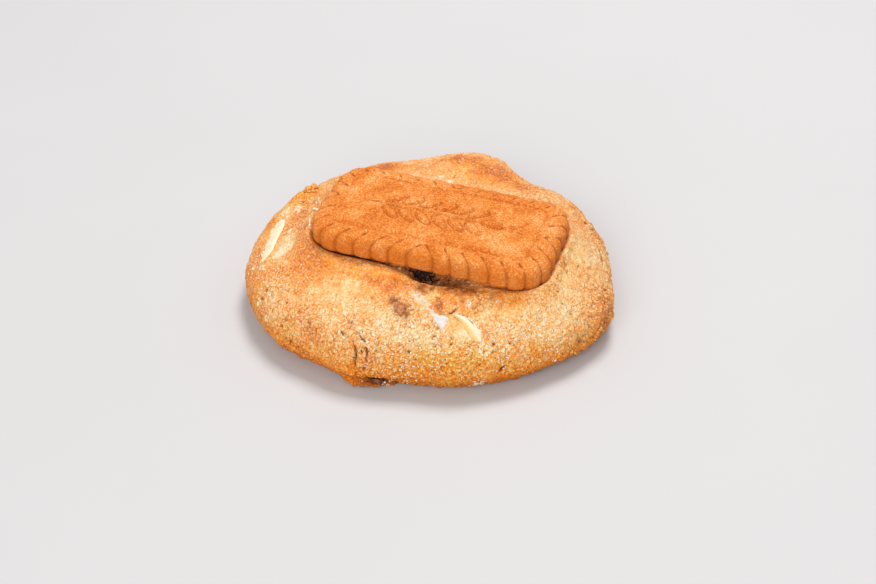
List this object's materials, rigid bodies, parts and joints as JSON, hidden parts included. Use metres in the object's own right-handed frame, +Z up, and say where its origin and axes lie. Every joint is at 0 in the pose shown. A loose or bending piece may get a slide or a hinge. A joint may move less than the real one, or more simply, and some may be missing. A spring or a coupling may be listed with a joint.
{
  "type": "speculoos cookie",
  "caption": "Thick soft-baked cookie, domed on a flat base, with a lobed oblong spice biscuit pressed into its top and white chocolate showing through the crust.",
  "frame": {"origin": "middle of the bounding box at the underside, where the cookie rests on its plate", "axes": "+Z up out of the domed top; +X along the cookie's slightly longer way; the biscuit's long front edge and the white triangle face -Y"},
  "size_m": [0.0958, 0.0932, 0.0291],
  "materials": {
    "cookie_crust": "matt, crumbly golden crust, paler on top and browner along its shoulders",
    "biscuit_crust": "matt, fine-grained caramel brown crust",
    "white_chocolate": "smooth, slightly waxy cream white",
    "caramel": "dark caramel brown, slightly shiny"
  },
  "bodies": {
    "root": {"cookie": "cookie_crust", "speculoos_biscuit": "biscuit_crust", "white_chunk_left": "white_chocolate", "white_chunk_front": "white_chocolate", "white_chunk_crack": "white_chocolate", "caramel_chip_top": "caramel", "caramel_chip_base": "caramel"}
  },
  "joints": []
}
